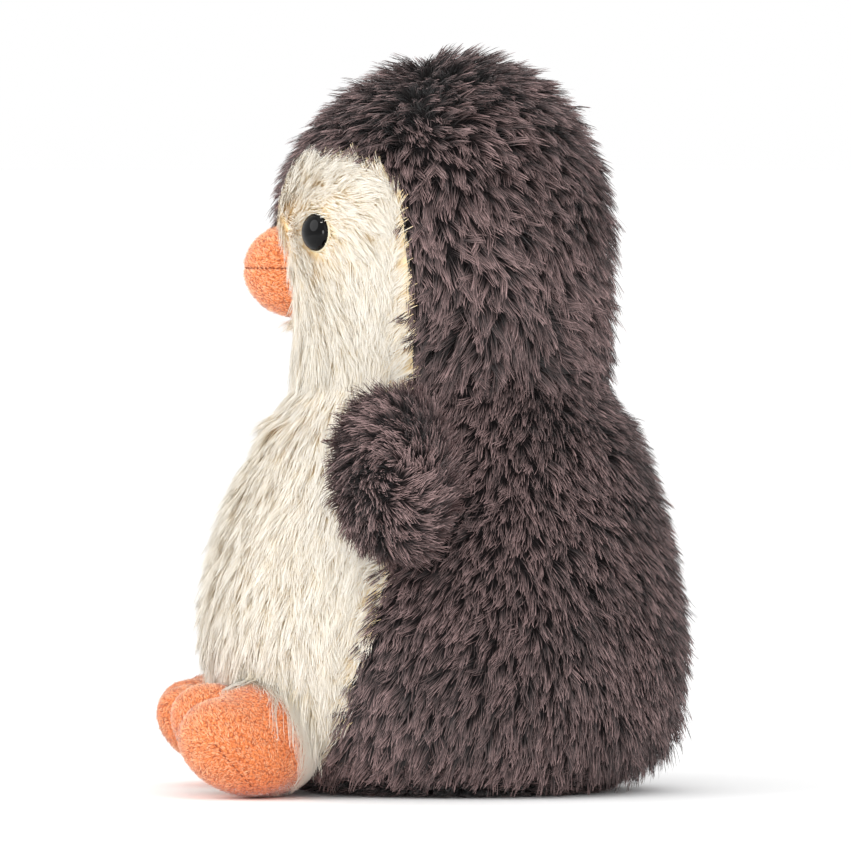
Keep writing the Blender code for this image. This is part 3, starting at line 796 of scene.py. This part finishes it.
def dress_body():
    """Cloth and pile on every panel. Gives back the skins of the feet, which the belly's pile lies on."""
    bodies = frame["record"]["behaviour"]["bodies"]
    # the torso's skin goes on under the head, which shows it as it nods
    blockers = {"torso": tree_of(bodies["torso"]),
                "head": tree_of(bodies["torso"] + bodies["neck"] + bodies["head"])}
    skins = {node: outer_skin(node, blockers[body]) for node, (body, _) in PANELS.items()}
    core = tree_of(["torso_stuffing", "neck_stuffing", "head_stuffing"])
    torso = surface_tree([skin for node, skin in skins.items() if PANELS[node][0] == "torso"])
    foot_skins = {side: foot_skin(sign, torso) for side, sign in SIDES}
    backs = surface_tree([skins["back_panel_left"], skins["back_panel_right"], skins["base_panel"]])
    hoods = surface_tree([skins["hood_panel_left"], skins["hood_panel_right"]])
    faces = surface_tree([skins["face_panel_left"], skins["face_panel_right"]])
    feet = joined_tree(foot_skins.values())
    wings = tree_of([f"wing_{part}_{side}" for part in ("front", "rear") for side, _ in SIDES])
    face_flow, face_length = kept_off(brushed_face, hoods, 12 * MM, 1.2), face_trim(hoods)
    hood_flow, hood_length = kept_off(brushed_hood, faces, 9 * MM, 0.6), hood_trim(faces)
    brushing = {
        "belly_panel": (kept_off(brushed_belly, backs, 11 * MM, 0.8), belly_trim(backs, feet), off_belly),
        "back_panel_left": (brushed_back, back_trim, under_head),
        "back_panel_right": (brushed_back, back_trim, under_head),
        "base_panel": (brushed_base, cropped(0.6, 0.3), nowhere),
        "face_panel_left": (face_flow, face_length, under_eye),
        "face_panel_right": (face_flow, face_length, under_eye),
        "hood_panel_left": (hood_flow, hood_length, nowhere),
        "hood_panel_right": (hood_flow, hood_length, nowhere),
    }
    for i, (node, (body, coat)) in enumerate(PANELS.items()):
        backing(node + "_cloth", skins[node], COATS[coat], body, [node], core)
        under = feet if node == "belly_panel" else None
        # the back's pile takes painted shade round the wings
        shade = behind(wings) if coat == "back" else unshaded
        grow_pile(node + "_pile", skins[node], coat, body, 10 * i, *brushing[node], under, shade)
    grow_pile("seat_edge_pile", skins["belly_panel"].below(BASE_SEAM + 1 * MM), "back", "torso", 95,
              brushed_belly, cropped(0.8, 1.0))
    return foot_skins


def remeshed(bm, voxel, rounds):
    """Overlapping closed forms as one soft skin."""
    obj = linked("parts", mesh_from(bm, "parts"))
    remesh = obj.modifiers.new("voxels", "REMESH")
    remesh.mode = "VOXEL"
    remesh.voxel_size = voxel
    whole = bmesh.new()
    whole.from_object(obj, bpy.context.evaluated_depsgraph_get())
    bpy.data.objects.remove(obj)
    # the voxels also leave a skin round any hollow inside, so only the outermost one stays
    keep, stack = set(), [max(whole.verts, key=lambda v: v.co.length)]
    while stack:
        vert = stack.pop()
        if vert not in keep:
            keep.add(vert)
            stack += [e.other_vert(vert) for e in vert.link_edges]
    bmesh.ops.delete(whole, geom=[v for v in whole.verts if v not in keep], context="VERTS")
    for _ in range(rounds):
        bmesh.ops.smooth_vert(
            whole, verts=whole.verts, factor=0.5, use_axis_x=True, use_axis_y=True, use_axis_z=True)
    for vert in whole.verts:
        vert.co.z = max(vert.co.z, RESTING)
    return whole


def fused_skin(nodes, voxel, rounds):
    """The outside of several stuffed CAD pieces as one soft skin."""
    bm = bmesh.new()
    for name in nodes:
        bm.from_mesh(frame["nodes"][name].data)
    return remeshed(bm, voxel, rounds)


def foot_skin(sign, torso):
    """Toes and heel run together, with a fold left between them, and pressed against the torso."""
    bm = bmesh.new()
    for centre, size, tilt in TOES:
        turn = Matrix.Rotation(-math.radians(tilt), 4, "X") @ Matrix.Diagonal((*(Vector(size) * MM), 1))
        place = Matrix.Translation(Vector((centre[0] * sign, *centre[1:])) * MM)
        bmesh.ops.create_icosphere(bm, subdivisions=5, radius=1, matrix=place @ turn)
    bm = remeshed(bm, 0.7 * MM, 9)
    for vert in bm.verts:
        spot, normal, _, _ = torso.find_nearest(vert.co)
        inside = (spot - vert.co).dot(normal)
        if inside > TUCK:
            vert.co += normal * (inside - TUCK)
    return bm


def sew_in(bm, height, pull, width):
    """Draws the skin in along a level seam."""
    bm.normal_update()
    for vert in bm.verts:
        vert.co -= vert.normal * pull * math.exp(-(((vert.co.z - height) / width) ** 2))


def stitches(name, places, length, thickness):
    """Short stitches half sunk in the cloth: each place is a point and the way its stitch runs."""
    bm = bmesh.new()
    for point, along in places:
        turn = Vector((0, 0, 1)).rotation_difference(along).to_matrix().to_4x4()
        size = Matrix.Diagonal((thickness / 2, thickness / 2, length / 2, 1))
        bmesh.ops.create_icosphere(bm, subdivisions=2, radius=1, matrix=Matrix.Translation(point) @ turn @ size)
    mesh = mesh_from(bm, name)
    mesh.materials.append(MATERIALS["stitch"])
    mesh.shade_smooth()
    return linked(name, mesh)


def skin_piece(name, bm, mat):
    """The bmesh as an object, and as a surface to grow pile on."""
    surface = mesh_surface(bm, smoothing=2)
    tree = BVHTree.FromBMesh(bm)
    bm.free()
    return make_object(name, surface.points, surface.triangles, mat), surface, tree


def dress_beak():
    """An egg shape, flat where it meets the face and drawn in along a stitched seam."""
    seam = (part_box("beak_lower")[1].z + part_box("beak_upper")[0].z) / 2
    size = (BEAK_HIGH - BEAK_LOW) / 2
    depth = BEAK_HIGH.y - BEAK_LOW.y
    bm = bmesh.new()
    place = Matrix.Translation(BEAK_ROOT) @ Matrix.Diagonal((size.x, depth, size.z, 1))
    bmesh.ops.create_icosphere(bm, subdivisions=6, radius=1, matrix=place)
    for vert in bm.verts:
        vert.co.y = min(vert.co.y, BEAK_ROOT.y)
    sew_in(bm, seam, 0.7 * MM, 0.7 * MM)
    obj, surface, tree = skin_piece("beak_cover", bm, MATERIALS["terry"])
    finish_piece(obj, "head", ["beak_upper", "beak_lower"])
    grow_pile("beak_pile", surface, "beak", "head", 300, any_way)
    places, centre = [], Vector((0, BEAK_ROOT.y, seam))
    for i in range(-BEAK_STITCHES, BEAK_STITCHES + 1):
        turn = math.radians(BEAK_STITCH_TURN * i)
        out = Vector((math.sin(turn), -math.cos(turn), 0))
        hit = tree.ray_cast(centre + out * 50 * MM, -out)[0]
        if hit:
            places.append((hit + out * 0.35 * MM, Vector((math.cos(turn), math.sin(turn), 0.3)).normalized()))
    finish_piece(stitches("beak_stitches", places, 1.1 * MM, 0.45 * MM), "head")


def dress_feet(foot_skins):
    """Terry pile on the feet, and the seam each was closed by."""
    for side, sign in SIDES:
        body = f"{side}_foot"
        obj, surface, tree = skin_piece(f"foot_cover_{side}", foot_skins[side], MATERIALS["terry"])
        finish_piece(obj, body, [f"foot_upper_{side}", f"foot_sole_{side}"])
        grow_pile(f"foot_pile_{side}", surface, "terry", body, 320 + sign, any_way)
        places = []
        for i in range(SEAM_STITCHES):
            spot = SEAM_TOP.lerp(SEAM_FOOT, i / (SEAM_STITCHES - 1))
            hit = tree.ray_cast(Vector((OUTSIDE * sign, spot.y, spot.z)), Vector((-sign, 0, 0)))[0]
            if hit:
                places.append((hit + Vector((0.7 * MM * sign, 0, 0)), (SEAM_FOOT - SEAM_TOP).normalized()))
        finish_piece(stitches(f"foot_stitches_{side}", places, 1.2 * MM, 0.4 * MM), body)


def dress_wings():
    """Rounded, hanging a little at the tip, in pile that swirls round to it."""
    for side, sign in SIDES:
        nodes = [f"wing_front_{side}", f"wing_rear_{side}"]
        core = tree_of([f"wing_stuffing_{side}"])
        bm = fused_skin(nodes + [f"wing_stuffing_{side}"], 1.5 * MM, 6)
        for vert in bm.verts:
            out = eased(abs(vert.co.x), abs(WING_HINGE.x), abs(WING_TIP.x))
            vert.co.y += WING_FULLER * (vert.co.y - WING_HINGE.y) + out * WING_BACK
            vert.co.z -= out * WING_DOWN + WING_LOWER * (vert.co.z - WING_HINGE.z)
        surface = mesh_surface(bm, smoothing=3)
        bm.free()
        backing(f"wing_cloth_{side}", surface, COATS["wing"], f"{side}_wing", nodes, core)
        grow_pile(f"wing_pile_{side}", surface, "wing", f"{side}_wing", 200 + sign, brushed_wing(sign))


def eye_profile():
    """The dome from its apex out, then the lip and the edge behind it: (radius, height past the apex)."""
    angles = [math.radians(DOME_STEP * i) for i in range(DOME_STEPS)]
    dome = [(EYE_RADIUS * math.sin(a), EYE_RISE * (math.cos(a) - 1)) for a in angles]
    lip = [(1.02, 0.2), (LIP, 0), (LIP, -0.5), (1, -1.2)]
    return dome + [(EYE_RADIUS * wide, -EYE_RISE + height * MM) for wide, height in lip]


def turned(name, profile, apex, axis):
    """A closed form turned about its axis from a profile that starts at the apex."""
    cross = unit(np.cross(axis, [0, 0, 1.0]))
    up = np.cross(cross, axis)
    n, last = EYE_STEPS, len(profile) - 2
    turns = np.linspace(0, 2 * math.pi, n, endpoint=False)
    rings = [apex + axis * h + r * (np.cos(turns)[:, None] * cross + np.sin(turns)[:, None] * up)
             for r, h in profile[1:]]
    points = np.concatenate([[apex]] + rings)
    faces = [(0, 1 + (i + 1) % n, 1 + i) for i in range(n)]
    for ring in range(last):
        a, b = 1 + ring * n, 1 + (ring + 1) * n
        for i in range(n):
            j = (i + 1) % n
            faces += [(a + i, a + j, b + j), (a + i, b + j, b + i)]
    faces.append(tuple(1 + last * n + i for i in range(n)))
    mesh = bpy.data.meshes.new(name)
    mesh.from_pydata(points.tolist(), [], faces)
    bm = bmesh.new()
    bm.from_mesh(mesh)
    bmesh.ops.recalc_face_normals(bm, faces=bm.faces)
    bm.to_mesh(mesh)
    bm.free()
    mesh.shade_smooth()
    return mesh


def dress_eyes():
    """A turned dome with a fine lip, on the CAD eye's own axis."""
    for side, _ in SIDES:
        eye, washer = (np.array([v.co for v in frame["nodes"][f"{part}_{side}"].data.vertices])
                       for part in ("eye", "eye_washer"))
        centre = eye.mean(axis=0)
        axis = unit(centre - washer.mean(axis=0))
        apex = centre + axis * (((eye - centre) @ axis).max() + EYE_STAND)
        mesh = turned(f"eye_dome_{side}", eye_profile(), apex, axis)
        for kind in ("eye", "eye_lip"):
            mesh.materials.append(MATERIALS[kind])
        # faces past the dome's radius take the lip's pale painted reflection
        for face in mesh.polygons:
            off = np.array(face.center) - apex
            face.material_index = int(np.linalg.norm(off - off @ axis * axis) > EYE_RADIUS)
        finish_piece(linked(mesh.name, mesh), "head", [f"eye_{side}"])


def dress_inner_parts():
    for kind, nodes in INNER_PARTS.items():
        for node in nodes:
            frame["nodes"][node].data.materials.clear()
            frame["nodes"][node].data.materials.append(MATERIALS[kind])


# ---------------------------------------------------------------- studio


AIM = Vector((0, 0, 110)) * MM          # what the lamps look at, from one metre away
LAMPS = (       # name, kind, azimuth and elevation in degrees, power, and what else it has
    ("overhead glow", "SUN", 70, 70, 0.25, {"angle": math.radians(50)}),
    ("key softbox", "AREA", 22, 28, 4.2, {"shape": "DISK", "size": 0.8}),
    ("fill softbox", "AREA", 125, 25, 1.2, {"shape": "DISK", "size": 0.8}),
    ("light beside the camera", "AREA", 88, 4, 2.4, {"shape": "DISK", "size": 0.3}),
)
LOOK = Vector((0, 1, 113.5)) * MM
VIEW = (90, 1.5)                        # azimuth and elevation of the camera in degrees
VIEW_DISTANCE, VIEW_WIDTH = 4.0, 264.5 * MM
SENSOR = 36.0


def direction(azimuth, elevation):
    """Azimuth 0 is in front of the toy, and 90 is on its left."""
    a, e = math.radians(azimuth), math.radians(elevation)
    return Vector((math.sin(a) * math.cos(e), -math.cos(a) * math.cos(e), math.sin(e)))


def place_at(obj, target, way, distance):
    """On the line that leaves the target this way, looking back at it."""
    obj.location = target + way * distance
    obj.rotation_euler = way.to_track_quat("Z", "Y").to_euler()


def make_studio():
    scene = bpy.context.scene
    scene.view_settings.view_transform = "Standard"
    scene.cycles.diffuse_bounces = 8
    world = bpy.data.worlds.new("white studio")
    world.use_nodes = True
    background = world.node_tree.nodes["Background"]
    background.inputs["Color"].default_value = (1, 1, 1, 1)
    background.inputs["Strength"].default_value = 1.0
    scene.world = world

    bpy.ops.mesh.primitive_plane_add(size=60.0, location=(0, 0, 0))
    floor = bpy.context.object
    floor.name = "studio_floor"
    floor.data.materials.append(new_material("white sweep", Base_Color=linear("#FFFFFF"), Roughness=0.8)[0])

    for name, kind, azimuth, elevation, power, facts in LAMPS:
        light = bpy.data.lights.new(name, kind)
        light.energy = power
        for fact, value in facts.items():
            setattr(light, fact, value)
        obj = linked(name, light)
        place_at(obj, AIM, direction(azimuth, elevation), 1.0)
        obj.visible_camera = False

    camera = linked("camera", bpy.data.cameras.new("camera"))
    camera.data.sensor_width = SENSOR
    camera.data.lens = SENSOR * VIEW_DISTANCE / VIEW_WIDTH
    place_at(camera, LOOK, direction(*VIEW), VIEW_DISTANCE)
    scene.camera = camera


foot_skins = dress_body()
dress_wings()
dress_feet(foot_skins)
dress_beak()
dress_eyes()
dress_inner_parts()
make_studio()
